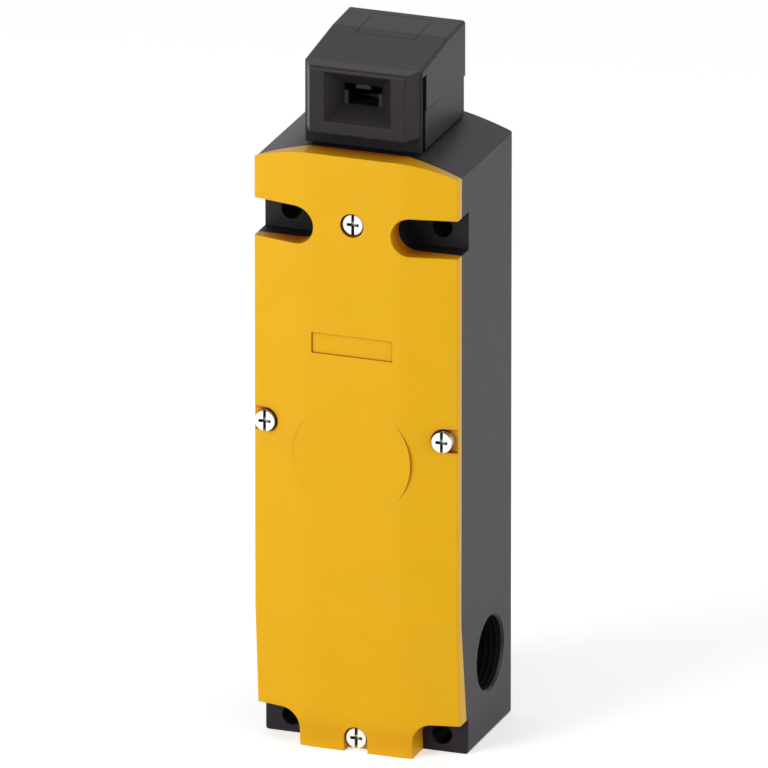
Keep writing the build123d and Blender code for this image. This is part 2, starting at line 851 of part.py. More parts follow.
# Head base: closing plate with the spigot that turns in the housing
with BuildPart() as head_base:
    block((-base_half, base_front_y, head_bottom_z), (base_half, base_back_y, base_top_z))
    spigot_top_z = head_bottom_z + base_height / 2
    rod((0, axis_y, spigot_bottom_z), (0, 0, 1), spigot_radius, spigot_top_z - spigot_bottom_z)
    for low, high, radius in (
        (lock_groove_low_z, lock_groove_high_z, lock_groove_radius),
        (seal_z - seal_wire / 2, seal_z + seal_wire / 2, seal_groove_radius),
    ):
        with BuildSketch(Plane.XY.offset(low)):
            with Locations((0, axis_y)):
                Circle(spigot_radius + 1)
                Circle(radius, mode=Mode.SUBTRACT)
        extrude(amount=high - low, mode=Mode.SUBTRACT)
    bore_length = base_top_z - spigot_bottom_z
    rod((0, axis_y, spigot_bottom_z), (0, 0, 1), stem_radius + stem_gap, bore_length, Mode.SUBTRACT)
    rod(
        (-pocket_half, axis_y, cam_axis_z), (1, 0, 0), pocket_radius, 2 * pocket_half, Mode.SUBTRACT
    )
    for x, y in head_screw_places:
        rod((x, y, head_bottom_z), (0, 0, 1), head_screw_radius, base_height, Mode.SUBTRACT)
        rod(
            (x, y, head_bottom_z), (0, 0, 1), head_screw_head_radius, base_height / 2, Mode.SUBTRACT
        )
head_base.part.label = "head_base"

# Screws that hold the head base from below
with BuildPart() as head_screws:
    for x, y in head_screw_places:
        rod((x, y, head_bottom_z), (0, 0, 1), head_screw_head_radius, base_height / 2)
        shank = base_height / 2 + head_screw_length
        rod((x, y, head_bottom_z + base_height / 2), (0, 0, 1), head_screw_radius, shank)
        rod((x, y, head_bottom_z), (0, 0, 1), head_screw_radius / 2, base_height / 4, Mode.SUBTRACT)
head_screws.part.label = "head_screws"

# O-ring in the spigot's upper groove
with BuildPart() as neck_seal:
    with BuildSketch(Plane.XZ.offset(-axis_y)):
        with Locations((seal_groove_radius + seal_wire / 2, seal_z)):
            RegularPolygon(seal_wire / 2, seal_sides)
    revolve(axis=Axis((0, axis_y, 0), (0, 0, 1)))
neck_seal.part.label = "neck_seal"

# Keyhole slider that grips the spigot's lower groove and frees it when it is pulled forward
with BuildPart() as head_lock_slider:
    slider_front_y = axis_y - spigot_radius - slider_gap - slider_thickness
    slider_back_y = axis_y + spigot_radius + slider_travel + slider_gap + slider_thickness
    with BuildSketch(Plane.XY.offset(slider_z)):
        with Locations((0, (slider_front_y + slider_back_y) / 2)):
            Rectangle(2 * slider_half, slider_back_y - slider_front_y)
        with Locations((0, axis_y)):
            Circle(lock_groove_radius + slider_gap, mode=Mode.SUBTRACT)
        with Locations((0, axis_y + slider_travel)):
            Circle(spigot_radius + slider_gap, mode=Mode.SUBTRACT)
    extrude(amount=slider_thickness)
    tab_low_z = slider_z + slider_thickness - slider_tab_height
    block(
        (-slider_tab_half, slider_front_y - slider_thickness, tab_low_z),
        (slider_tab_half, slider_front_y, slider_z + slider_thickness),
    )
head_lock_slider.part.label = "head_lock_slider"


def cam_point(angle):
    """Point of the lifting flank in side view, at an angle past the lowest point of the wheel."""
    radius = cam_radius - cam_rate * radians(angle)
    return (axis_y + radius * sin(radians(angle)), cam_axis_z - radius * cos(radians(angle)))


# Cam wheel: dwell, spiral flank for the plunger and two pockets for the tongue
with BuildPart() as cam_wheel:
    flank_end = cam_turn + cam_spare_turn
    with BuildSketch(Plane.YZ.offset(-cam_half_width)):
        with BuildLine():
            flank = Spline(*(cam_point(flank_end * i / 8) for i in range(9)))
            end_angle = radians(flank_end)
            rim_end = (
                axis_y + cam_radius * sin(end_angle),
                cam_axis_z - cam_radius * cos(end_angle),
            )
            Line(flank @ 1, rim_end)
            ThreePointArc(
                rim_end,
                (
                    axis_y - cam_radius * sin(end_angle / 2 + pi / 2 - end_angle),
                    cam_axis_z + cam_radius * cos(end_angle / 2 + pi / 2 - end_angle),
                ),
                flank @ 0,
            )
        make_face()
        for pocket_angle in (front_pocket_angle, top_pocket_angle):
            across = cam_radius * cos(radians(pocket_angle))
            up = cam_radius * sin(radians(pocket_angle))
            with Locations((axis_y + across, cam_axis_z + up)):
                Circle(cam_pocket_radius, mode=Mode.SUBTRACT)
        with Locations((axis_y, cam_axis_z)):
            Circle(axle_radius + axle_gap, mode=Mode.SUBTRACT)
    extrude(amount=2 * cam_half_width)
cam_wheel.part.label = "cam_wheel"

# Axle of the cam wheel
with BuildPart() as cam_axle:
    rod((-axle_half_length, axis_y, cam_axis_z), (1, 0, 0), axle_radius, 2 * axle_half_length)
cam_axle.part.label = "cam_axle"

# Plunger: turned bar with a domed head, a spring collar and a coned foot
with BuildPart() as plunger:
    with BuildSketch(Plane.XZ.offset(-axis_y)):
        with BuildLine():
            dome_z = plunger_top_z - dome_radius
            shoulder_z = dome_z - dome_radius
            Polyline(
                (dome_radius, dome_z),
                (stem_radius, shoulder_z),
                (stem_radius, collar_top_z),
                (collar_radius, collar_top_z),
                (collar_radius, collar_low_z),
                (tail_radius, collar_low_z),
                (tail_radius, foot_z),
                (foot_radius, foot_z),
                (foot_radius, foot_low_z),
                (0, foot_tip_z),
                (0, plunger_top_z),
            )
            RadiusArc((0, plunger_top_z), (dome_radius, dome_z), dome_radius)
        make_face()
    revolve(axis=Axis((0, axis_y, 0), (0, 0, 1)))
plunger.part.label = "plunger"

# Clip on the plunger's tail that works the upper contact block
with BuildPart() as plunger_arm:
    with BuildSketch(Plane.XY.offset(foot_z)):
        with Locations((0, axis_y)):
            Circle(plunger_hub_radius)
        with Locations((block_x / 2, axis_y)):
            Rectangle(-block_x, 2 * plunger_arm_half)
        with Locations((block_x, axis_y)):
            Circle(plunger_arm_half)
        with Locations((0, axis_y)):
            Circle(tail_radius, mode=Mode.SUBTRACT)
    extrude(amount=plunger_arm_height)
plunger_arm.part.label = "plunger_arm"

# Bush in the shelf
with BuildPart() as guide_bush:
    rod((0, axis_y, shelf_low_z), (0, 0, 1), bush_radius, shelf_high_z - shelf_low_z)
    rod((0, axis_y, shelf_high_z), (0, 0, 1), bush_flange_radius, bush_flange)
    bush_length = shelf_high_z + bush_flange - shelf_low_z
    rod((0, axis_y, shelf_low_z), (0, 0, 1), tail_radius + stem_gap, bush_length, Mode.SUBTRACT)
guide_bush.part.label = "guide_bush"


def coil(x, low_z, high_z, radius, wire, turns):
    """Compression spring on an upright axis, in short straight lengths of wire."""
    rise = high_z - low_z - wire
    steps = int(turns * spring_steps)
    with BuildLine():
        path = Polyline(
            *(
                (
                    x + radius * cos(2 * pi * i / spring_steps),
                    axis_y + radius * sin(2 * pi * i / spring_steps),
                    low_z + wire / 2 + rise * i / steps,
                )
                for i in range(steps + 1)
            )
        )
    with BuildSketch(Plane(origin=path @ 0, z_dir=path % 0)) as section:
        RegularPolygon(wire / 2, spring_sides)
    sweep(section.sketch, path=path, transition=Transition.RIGHT)


with BuildPart() as plunger_spring:
    coil(
        0,
        shelf_high_z + bush_flange,
        collar_low_z,
        collar_radius - spring_wire,
        spring_wire,
        plunger_spring_turns,
    )
plunger_spring.part.label = "plunger_spring"

# Locking lever at rest: the strut leans away from the plunger's foot, the arm droops
with BuildPart() as lock_lever:
    lean = Plane(
        origin=(0, axis_y + strut_thickness / 2, pivot_z),
        x_dir=(cos(radians(lever_angle)), 0, -sin(radians(lever_angle))),
        z_dir=(0, -1, 0),
    )
    with BuildSketch(lean):
        Circle(lever_hub_radius)
        with Locations((0, strut_length)):
            Circle(strut_nose_radius)
        with Locations((0, strut_length / 2)):
            Rectangle(2 * strut_half, strut_length)
    extrude(amount=strut_thickness)
    droop = Plane(
        origin=(0, axis_y + lever_arm_thickness / 2, pivot_z),
        x_dir=(cos(radians(arm_droop)), 0, -sin(radians(arm_droop))),
        z_dir=(0, -1, 0),
    )
    with BuildSketch(droop):
        with Locations((lever_arm_x / 2, 0)):
            Rectangle(lever_arm_x, 2 * lever_arm_half)
        with Locations((lever_arm_x, 0)):
            Circle(lever_eye_radius)
    extrude(amount=lever_arm_thickness)
    with BuildSketch(droop):
        with Locations((lever_arm_x + link_pin_gap / 2, 0)):
            SlotOverall(
                2 * (link_pin_radius + link_pin_gap) + link_pin_gap,
                2 * (link_pin_radius + link_pin_gap),
            )
    extrude(amount=lever_arm_thickness, mode=Mode.SUBTRACT)
    rod(
        (0, axis_y - strut_thickness, pivot_z),
        (0, 1, 0),
        lever_pin_radius + lever_pin_gap,
        2 * strut_thickness,
        Mode.SUBTRACT,
    )
lock_lever.part.label = "lock_lever"

# Bracket on the solenoid yoke that carries the lever, and its pin
ear_inner = strut_thickness / 2 + bracket_gap
ear_outer = ear_inner + bracket_thickness
with BuildPart() as lever_bracket:
    block(
        (-bracket_half, axis_y - ear_outer, yoke_high_z),
        (bracket_half, axis_y + ear_outer, yoke_high_z + bracket_thickness),
    )
    for side in (-1, 1):
        block(
            (-bracket_half, axis_y + side * ear_inner, yoke_high_z),
            (bracket_half, axis_y + side * ear_outer, pivot_z),
        )
        rod((0, axis_y + side * ear_inner, pivot_z), (0, side, 0), bracket_half, bracket_thickness)
    rod(
        (0, axis_y - ear_outer, pivot_z), (0, 1, 0), lever_pin_radius, 2 * ear_outer, Mode.SUBTRACT
    )
lever_bracket.part.label = "lever_bracket"

with BuildPart() as lever_pin:
    rod((0, axis_y - ear_outer, pivot_z), (0, 1, 0), lever_pin_radius, 2 * ear_outer)
lever_pin.part.label = "lever_pin"

# Solenoid: yoke frame, bobbin, winding, fixed stop and moving armature
with BuildPart() as coil_yoke:
    yoke_front_y = axis_y - yoke_depth / 2
    yoke_back_y = axis_y + yoke_depth / 2
    block(
        (lever_arm_x - yoke_half, yoke_front_y, yoke_low_z),
        (lever_arm_x + yoke_half, yoke_back_y, yoke_high_z),
    )
    block(
        (lever_arm_x - yoke_half + yoke_wall, yoke_front_y, yoke_low_z + yoke_wall),
        (lever_arm_x + yoke_half - yoke_wall, yoke_back_y, yoke_high_z - yoke_wall),
        Mode.SUBTRACT,
    )
    rod(
        (lever_arm_x, axis_y, yoke_high_z - yoke_wall),
        (0, 0, 1),
        armature_radius + yoke_hole_gap,
        yoke_wall,
        Mode.SUBTRACT,
    )
    rod((lever_arm_x, axis_y, yoke_low_z), (0, 0, 1), armature_radius, yoke_wall, Mode.SUBTRACT)
coil_yoke.part.label = "coil_yoke"

coil_low_z = yoke_low_z + yoke_wall
coil_high_z = yoke_high_z - yoke_wall
with BuildPart() as coil_bobbin:
    bobbin_length = coil_high_z - coil_low_z
    rod((lever_arm_x, axis_y, coil_low_z), (0, 0, 1), bobbin_radius, bobbin_length)
    for flange_z in (coil_low_z, coil_high_z - bobbin_flange):
        rod(
            (lever_arm_x, axis_y, flange_z), (0, 0, 1), coil_radius + bobbin_gap, bobbin_flange
        )
    rod(
        (lever_arm_x, axis_y, coil_low_z),
        (0, 0, 1),
        armature_radius + armature_gap,
        bobbin_length,
        Mode.SUBTRACT,
    )
coil_bobbin.part.label = "coil_bobbin"

with BuildPart() as coil_winding:
    winding_z = coil_low_z + bobbin_flange
    winding_length = coil_high_z - bobbin_flange - winding_z
    rod((lever_arm_x, axis_y, winding_z), (0, 0, 1), coil_radius, winding_length)
    rod(
        (lever_arm_x, axis_y, winding_z), (0, 0, 1), bobbin_radius, winding_length, Mode.SUBTRACT
    )
coil_winding.part.label = "coil_winding"

with BuildPart() as coil_stop:
    rod((lever_arm_x, axis_y, yoke_low_z), (0, 0, 1), armature_radius, stop_top_z - yoke_low_z)
    rod(
        (lever_arm_x, axis_y, yoke_low_z),
        (0, 0, 1),
        rod_radius + stem_gap,
        stop_top_z - yoke_low_z,
        Mode.SUBTRACT,
    )
    rod(
        (lever_arm_x, axis_y, stop_top_z - spring_pocket_depth),
        (0, 0, 1),
        spring_pocket_radius,
        spring_pocket_depth,
        Mode.SUBTRACT,
    )
coil_stop.part.label = "coil_stop"

with BuildPart() as armature:
    rod((lever_arm_x, axis_y, armature_low_z), (0, 0, 1), armature_radius, clevis_low_z - armature_low_z)
    rod((lever_arm_x, axis_y, rod_low_z), (0, 0, 1), rod_radius, armature_low_z - rod_low_z)
    ear_in = lever_arm_thickness / 2 + bracket_gap
    ear_out = ear_in + clevis_thickness
    block(
        (lever_arm_x - clevis_half, axis_y - ear_out, clevis_low_z - 1),
        (lever_arm_x + clevis_half, axis_y + ear_out, link_z),
    )
    rod((lever_arm_x, axis_y - ear_out, link_z), (0, 1, 0), clevis_half, 2 * ear_out)
    gap_floor_z = link_z - lever_eye_radius - 2 * link_pin_gap
    block(
        (lever_arm_x - 2 * clevis_half, axis_y - ear_in, gap_floor_z),
        (lever_arm_x + 2 * clevis_half, axis_y + ear_in, link_z + 2 * clevis_half),
        Mode.SUBTRACT,
    )
    rod((lever_arm_x, axis_y - ear_out, link_z), (0, 1, 0), link_pin_radius, 2 * ear_out)
armature.part.label = "armature"

with BuildPart() as armature_spring:
    coil(
        lever_arm_x,
        stop_top_z - spring_pocket_depth,
        armature_low_z,
        spring_pocket_radius - spring_wire,
        spring_wire,
        armature_spring_turns,
    )
armature_spring.part.label = "armature_spring"

# Clip on the armature's rod that works the lower contact block
with BuildPart() as armature_arm:
    arm_span = lever_arm_x - block_x
    with BuildSketch(Plane.XY.offset(armature_arm_z)):
        with Locations((lever_arm_x, axis_y)):
            Circle(armature_hub_radius)
        with Locations((lever_arm_x - arm_span / 2, axis_y)):
            Rectangle(arm_span, 2 * plunger_arm_half)
        with Locations((block_x, axis_y)):
            Circle(plunger_arm_half)
        with Locations((lever_arm_x, axis_y)):
            Circle(rod_radius, mode=Mode.SUBTRACT)
    extrude(amount=armature_arm_height)
armature_arm.part.label = "armature_arm"


def contact_block(name, base_z, up, lift):
    """Six pieces of one contact block. Heights count from its base, upwards or downwards.

    At rest the carrier stands a given lift above its lowest place.
    """
    def box(low, high, mode=Mode.ADD):
        """Box given by its place across, in depth and above the base."""
        block(
            (block_x + low[0], low[1], base_z + up * low[2]),
            (block_x + high[0], high[1], base_z + up * high[2]),
            mode,
        )

    make_top = make_bridge - rivet_height - contact_gap - rivet_height
    break_low = break_bridge + bridge_thickness + rivet_height + contact_travel + contact_gap
    break_low += rivet_height
    levels = ((make_top - strip_thickness, make_top, 1), (break_low, break_low + strip_thickness, -1))
    plate_y = block_front_y - strip_thickness
    terminal_places = []

    with BuildPart() as contacts:
        for side in (-1, 1):
            outer = side * (block_half - block_wall - strip_inset)
            inner = side * (block_half - block_wall - strip_inset - strip_width)
            plate_inner = side * (block_half - block_wall - strip_inset - terminal_width)
            for low, high, toward in levels:
                box((inner, plate_y, low), (outer, axis_y + bridge_width / 2, high))
                end = low - terminal_drop if toward < 0 else low - terminal_drop + strip_thickness
                box((outer, plate_y, end), (plate_inner, block_front_y, high))
                rivet_start = high if toward > 0 else low - rivet_height
                rod(
                    (block_x + side * rivet_x, axis_y, base_z + up * rivet_start),
                    (0, 0, up),
                    rivet_radius,
                    rivet_height,
                )
                terminal_places.append(
                    (block_x + (outer + plate_inner) / 2, base_z + up * (high + end) / 2)
                )
        for x, z in terminal_places:
            rod((x, plate_y, z), (0, 1, 0), terminal_screw_radius, strip_thickness, Mode.SUBTRACT)

    with BuildPart() as screws:
        for x, z in terminal_places:
            rod((x, plate_y, z), (0, -1, 0), terminal_head_radius, terminal_head_height)
            rod((x, plate_y, z), (0, 1, 0), terminal_screw_radius, terminal_screw_length)
            block(
                (x - terminal_head_radius, plate_y - 2 * terminal_head_height, z - strip_thickness / 2),
                (
                    x + terminal_head_radius,
                    plate_y - terminal_head_height / 2,
                    z + strip_thickness / 2,
                ),
                Mode.SUBTRACT,
            )

    with BuildPart() as body:
        box((-block_half, block_front_y, 0), (block_half, chamber_back_y, block_height))
        box(
            (-block_half + block_wall, block_front_y, block_wall),
            (block_half - block_wall, chamber_back_y - block_wall, block_height - block_wall),
            Mode.SUBTRACT,
        )
        for side in (-1, 1):
            box(
                (side * block_half, block_front_y, 0),
                (side * (block_half - block_column), block_front_y + block_column_depth, block_height),
            )
        stem_hole = carrier_stem_half + carrier_stem_gap
        box(
            (-stem_hole, axis_y - stem_hole, block_height - block_wall),
            (stem_hole, axis_y + stem_hole, block_height),
            Mode.SUBTRACT,
        )
        add(contacts.part, mode=Mode.SUBTRACT)
        add(screws.part, mode=Mode.SUBTRACT)

    with BuildPart() as bridges:
        for level, rivet_level in (
            (make_bridge, make_bridge - rivet_height),
            (break_bridge, break_bridge + bridge_thickness),
        ):
            box(
                (-bridge_half, axis_y - bridge_width / 2, level + lift),
                (bridge_half, axis_y + bridge_width / 2, level + bridge_thickness + lift),
            )
            for side in (-1, 1):
                rod(
                    (block_x + side * rivet_x, axis_y, base_z + up * (rivet_level + lift)),
                    (0, 0, up),
                    rivet_radius,
                    rivet_height,
                )

    with BuildPart() as carrier:
        box(
            (-carrier_half, axis_y - carrier_depth_half, carrier_low + lift),
            (carrier_half, axis_y + carrier_depth_half, carrier_high + lift),
        )
        box(
            (-carrier_stem_half, axis_y - carrier_stem_half, carrier_high + lift),
            (
                carrier_stem_half,
                axis_y + carrier_stem_half,
                block_height + carrier_stem_reach + lift,
            ),
        )
        add(bridges.part, mode=Mode.SUBTRACT)

    with BuildPart() as spring:
        ends = (base_z + up * block_wall, base_z + up * (carrier_low + lift))
        coil(
            block_x,
            min(ends),
            max(ends),
            carrier_spring_radius,
            carrier_spring_wire,
            carrier_spring_turns,
        )

    pieces = {
        "body": body,
        "contacts": contacts,
        "terminal_screws": screws,
        "bridges": bridges,
        "carrier": carrier,
        "spring": spring,
    }
    for piece_name, piece in pieces.items():
        piece.part.label = f"{name}_{piece_name}"
    return [piece.part for piece in pieces.values()]


# The tongue block stands upright above, the lock block hangs upside down below it
tongue_block = contact_block("tongue_block", tongue_block_z, 1, 0)
lock_block = contact_block("lock_block", lock_block_z, -1, contact_travel)

# Terminal strip of the solenoid, in front of its yoke
coil_block_places = [
    (lever_arm_x + (i - 0.5) * coil_terminal_pitch, coil_block_low_z + coil_block_height / 2)
    for i in (0, 1)
]
coil_block_front_y = axis_y - yoke_depth / 2 - coil_block_depth
with BuildPart() as coil_terminal_block:
    block(
        (lever_arm_x - coil_block_half, coil_block_front_y, coil_block_low_z),
        (
            lever_arm_x + coil_block_half,
            axis_y - yoke_depth / 2,
            coil_block_low_z + coil_block_height,
        ),
    )
    for x, z in coil_block_places:
        rod(
            (x, coil_block_front_y, z),
            (0, 1, 0),
            terminal_head_radius + contact_gap,
            terminal_head_height,
            Mode.SUBTRACT,
        )
        rod(
            (x, coil_block_front_y, z),
            (0, 1, 0),
            terminal_screw_radius,
            coil_block_depth - 1,
            Mode.SUBTRACT,
        )
coil_terminal_block.part.label = "coil_terminal_block"

with BuildPart() as coil_terminal_screws:
    for x, z in coil_block_places:
        head_y = coil_block_front_y + terminal_head_height
        rod((x, head_y, z), (0, -1, 0), terminal_head_radius, terminal_head_height)
        rod((x, head_y, z), (0, 1, 0), terminal_screw_radius, coil_block_depth - 1 - terminal_head_height)
        block(
            (x - terminal_head_radius, head_y - 2 * terminal_head_height, z - strip_thickness / 2),
            (x + terminal_head_radius, head_y - terminal_head_height / 2, z + strip_thickness / 2),
            Mode.SUBTRACT,
        )
coil_terminal_screws.part.label = "coil_terminal_screws"

single_parts = [
    housing,
    cover,
    cover_gasket,
    cover_screws,
    head_body,
    head_front_guide,
    head_top_plug,
    head_base,
    head_screws,
    neck_seal,
    head_lock_slider,
    cam_wheel,
    cam_axle,
    plunger,
    plunger_arm,
    plunger_spring,
    guide_bush,
    lock_lever,
    lever_bracket,
    lever_pin,
    coil_yoke,
    coil_bobbin,
    coil_winding,
    coil_stop,
    armature,
    armature_spring,
    armature_arm,
    coil_terminal_block,
    coil_terminal_screws,
]
for piece in [builder.part for builder in single_parts] + tongue_block + lock_block:
    export_step(piece, f"parts/{piece.label}.step")
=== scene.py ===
# %% [markdown]
# A tongue interlock switch as a catalogue would show it: black moulded case, yellow lid and a head
# that can be turned. Everything is in metres, X to the right, Y towards the wall and Z up, and the
# switch stands on z = 0. The solid pieces are loaded as they are, because their shapes are right
# already, and the steps below give them finishes, entry threads, light and a camera.

# %% Frame
from math import cos, pi, radians, sin

import bmesh
import bpy
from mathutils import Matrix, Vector


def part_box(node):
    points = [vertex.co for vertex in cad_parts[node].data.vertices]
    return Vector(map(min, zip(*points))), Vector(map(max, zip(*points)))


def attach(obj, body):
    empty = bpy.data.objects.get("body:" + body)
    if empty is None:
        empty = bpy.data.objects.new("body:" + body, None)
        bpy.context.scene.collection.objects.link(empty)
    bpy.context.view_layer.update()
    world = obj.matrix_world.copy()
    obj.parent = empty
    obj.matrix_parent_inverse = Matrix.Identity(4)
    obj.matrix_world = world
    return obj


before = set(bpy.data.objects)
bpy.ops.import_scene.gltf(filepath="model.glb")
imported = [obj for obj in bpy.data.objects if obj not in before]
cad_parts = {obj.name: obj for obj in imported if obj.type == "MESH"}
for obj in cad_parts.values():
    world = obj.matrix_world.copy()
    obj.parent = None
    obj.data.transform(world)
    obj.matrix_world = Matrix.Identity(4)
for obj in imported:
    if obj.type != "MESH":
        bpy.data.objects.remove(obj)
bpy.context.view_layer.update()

# %% [markdown]
# A finish is a tree of nodes, and two things keep such trees readable. Colours are written as sRGB
# hex, as on a colour card, and turned to linear in one place. A pattern's scale comes from its
# width in millimetres, so it stays true on any piece. One helper adds every kind of node.

# %% Helpers for node trees
MM = 0.001


def linear(code):
    """Linear RGBA from an sRGB hex code."""
    out = []
    for i in (0, 2, 4):
        c = int(code[i:i + 2], 16) / 255
        out.append(c / 12.92 if c <= 0.04045 else ((c + 0.055) / 1.055) ** 2.4)
    return (*out, 1.0)


def per_mm(size):
    """Texture scale that makes one feature about this many millimetres wide."""
    return 1 / (size * MM)


def add(tree, kind, settings=None, **inputs):
    """Adds a node, sets its properties and inputs, and links inputs that are sockets.

    An input goes by its name, or by its number as _0 or _1 where names repeat.
    """
    node = tree.nodes.new(kind)
    for key, value in (settings or {}).items():
        setattr(node, key, value)
    for key, value in inputs.items():
        socket = node.inputs[int(key[1:]) if key[0] == "_" else key.replace("_", " ")]
        if isinstance(value, bpy.types.NodeSocket):
            tree.links.new(value, socket)
        else:
            socket.default_value = value
    return node


def new_material(name):
    """Empty node material with its output, and the object coordinates of what wears it."""
    material = bpy.data.materials.new(name)
    material.use_nodes = True
    tree = material.node_tree
    tree.nodes.clear()
    output = tree.nodes.new("ShaderNodeOutputMaterial")
    place = tree.nodes.new("ShaderNodeTexCoord").outputs["Object"]
    return material, tree, output, place


print("a hex grey of 80 is linear", round(linear("808080")[0], 3))

# %% [markdown]
# The switch is almost black, and what makes its form readable is how its mouth, notches and the
# gap under the head fall off to full black. Light alone does part of that, and the rest is painted
# shade. Shade painted by hand on each piece would have to be painted again for every piece. An
# ambient occlusion node asks how open each point is and darkens the colour in hollows, so one rule
# serves all pieces.

# %% Painted shade in hollows
OPEN_FROM, OPEN_TO = 0.4, 0.92


def painted_shade_mask(tree, place, reach):
    """Painted shade mask: one on open surfaces, and down to zero where others stand within this reach.

    It fades out near the bottom, so that what the switch stands on darkens nothing.
    """
    hollow = add(tree, "ShaderNodeAmbientOcclusion", {"samples": 8}, Distance=reach * MM)
    dark = add(tree, "ShaderNodeMapRange", Value=hollow.outputs["AO"],
               _1=OPEN_FROM, _2=OPEN_TO, _3=-1.0, _4=0.0)
    height = add(tree, "ShaderNodeSeparateXYZ", Vector=place).outputs["Z"]
    fade = add(tree, "ShaderNodeMapRange", Value=height, _1=0.0, _2=reach * MM)
    return add(tree, "ShaderNodeMath", {"operation": "MULTIPLY_ADD"},
               _0=dark.outputs[0], _1=fade.outputs[0], _2=1.0).outputs[0]


def between(tree, painted_shading, painted_shade_code, code):
    """Colour that runs from the painted shade colour in hollows to the open one."""
    return add(tree, "ShaderNodeMix", {"data_type": "RGBA"},
               _0=painted_shading, _6=linear(painted_shade_code), _7=linear(code)).outputs[2]


# %% [markdown]
# Moulded plastic copies its steel mould: a fine even grain, a colour that drifts a little where
# the melt flowed, and edges that are never sharp. Noise gives the grain and the drift. The edges
# are softened in the shading, because rounding each one in the mesh would change the solids.

# %% Moulded plastic
CORNER_REACH = 12
CORNER_DULL = 0.25
DRIFT_WIDTH, DRIFT = 9, 0.025
ROUGHNESS_SPREAD = 0.04


def plastic(name, code, roughness, painted_shade_code="030203", grain=0.25, depth=0.02, edge=0.3, specular=0.5):
    """Moulded plastic. Grain, its depth and the edge radius are in millimetres."""
    material, tree, output, place = new_material(name)
    cloud = add(tree, "ShaderNodeTexNoise", Vector=place, Scale=per_mm(DRIFT_WIDTH), Detail=3.0)
    fine = add(tree, "ShaderNodeTexNoise", Vector=place, Scale=per_mm(grain), Detail=2.0)
    drift = add(tree, "ShaderNodeMapRange", Value=cloud.outputs["Fac"], _3=1 - DRIFT, _4=1 + DRIFT)
    # Painted shade: in hollows the colour runs to the painted shade colour, and those places also turn
    # rougher.
    painted_shading = painted_shade_mask(tree, place, CORNER_REACH)
    tone = add(tree, "ShaderNodeHueSaturation", Color=between(tree, painted_shading, painted_shade_code, code),
               Value=drift.outputs[0])
    grainy = add(tree, "ShaderNodeMapRange", Value=fine.outputs["Fac"],
                 _3=roughness - ROUGHNESS_SPREAD, _4=roughness + ROUGHNESS_SPREAD)
    dull = add(tree, "ShaderNodeMapRange", Value=painted_shading, _3=CORNER_DULL, _4=0.0)
    rough = add(tree, "ShaderNodeMath", {"operation": "ADD"}, _0=grainy.outputs[0], _1=dull.outputs[0])
    soft = add(tree, "ShaderNodeBevel", {"samples": 4}, Radius=edge * MM)
    bump = add(tree, "ShaderNodeBump", Strength=1.0, Distance=depth * MM,
               Height=fine.outputs["Fac"], Normal=soft.outputs[0])
    body = add(tree, "ShaderNodeBsdfPrincipled", Base_Color=tone.outputs[0],
               Roughness=rough.outputs[0], Normal=bump.outputs[0])
    body.inputs["Specular IOR Level"].default_value = specular
    tree.links.new(body.outputs[0], output.inputs["Surface"])
    return material


# Glass-filled nylon is nearly black and dull, because fibres lie just under its skin.
black_case = plastic("Black glass-filled nylon, case", "1f1922", 0.42, specular=0.22)

# The head comes from another mould: a trace redder, with rounder edges that catch a line of light.
black_head = plastic("Black glass-filled nylon, head", "1f191f", 0.42, edge=0.5, specular=0.22)

# The thread is the case nylon in a darker copy with less specular: painted shade for its place deep in the
# bore.
thread_nylon_painted_shade = plastic("Black glass-filled nylon, thread in painted shade", "0e0b0f", 0.6, specular=0.08)

# ABS from a polished mould: a strong even yellow with hardly any grain. Light that bounces between
# yellow walls turns orange, so the painted shade in its hollows is orange and not olive.
yellow_cover = plastic("Yellow ABS, cover", "e4ac04", 0.38, painted_shade_code="a04800", depth=0.006, edge=0.35,
                       specular=0.22)

# Contact blocks: matt grey, so that bright terminals stand out on them.
grey_plastic = plastic("Grey glass-filled nylon", "4a4a4c", 0.5)

# Terminal strip: the green of pluggable strips, a little shinier than the nylon.
green_plastic = plastic("Green polyamide, terminal strip", "1f5a32", 0.45)

# Unfilled nylon slides well and is left uncoloured: off-white, smooth and slightly waxy.
white_nylon = plastic("Natural white nylon", "dcdad2", 0.35, depth=0.004)

# Nitrile rubber is the dullest thing here, with a skin finer than the nylon's.
seal_rubber = plastic("Black nitrile rubber", "161616", 0.6, depth=0.01)
print("plastics:", len(bpy.data.materials))

# %% [markdown]
# Turned, ground, drawn and stamped metal carries fine marks in one direction, which stretch each
# highlight across them. A noise that is squeezed along one axis gives such marks. Real ones are a
# few hundredths of a millimetre wide and would vanish, so they are drawn at 0.2 mm.

# %% Metal
MARK_WIDTH = 0.2
MARK_DEPTH = 0.003
MARK_SPREAD = 0.07
SLOT_REACH = 1.2
ALONG = {"X": (0.03, 1, 1), "Y": (1, 0.03, 1), "Z": (1, 1, 0.03)}


